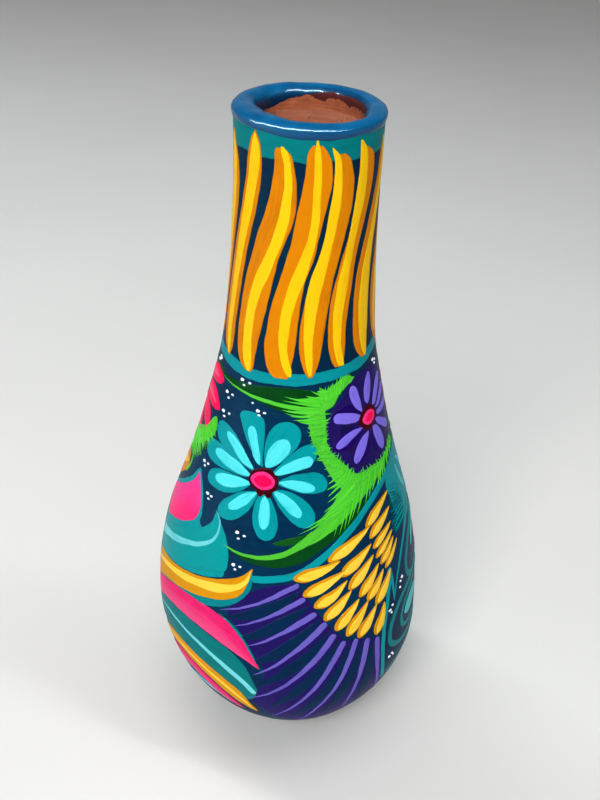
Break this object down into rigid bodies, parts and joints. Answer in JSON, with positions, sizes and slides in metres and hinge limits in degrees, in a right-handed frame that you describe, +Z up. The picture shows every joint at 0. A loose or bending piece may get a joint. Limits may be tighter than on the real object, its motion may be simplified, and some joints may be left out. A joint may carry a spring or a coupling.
{
  "type": "painted terracotta vase",
  "caption": "Bulbous low-fired clay vase with a long narrow neck and rolled lip, painted all over with a flower and bird pattern.",
  "frame": {"origin": "centre of the foot, on the surface that the vase stands on", "axes": "+Z up along the vase's axis of revolution, -Y towards the front of the painted pattern"},
  "size_m": [0.1045, 0.1044, 0.25],
  "materials": {
    "bare_terracotta": "matt bare low-fired clay",
    "painted_belly": "glossy clear varnish over brushed acrylic paint",
    "painted_neck": "glossy clear varnish over brushed acrylic paint",
    "painted_lip": "glossy clear varnish over brushed acrylic paint"
  },
  "bodies": {
    "root": {"base_slab": "bare_terracotta", "lower_bowl": "painted_belly", "shoulder": "painted_belly", "neck_tube": "painted_neck", "rim_coil": "painted_lip"}
  },
  "joints": []
}
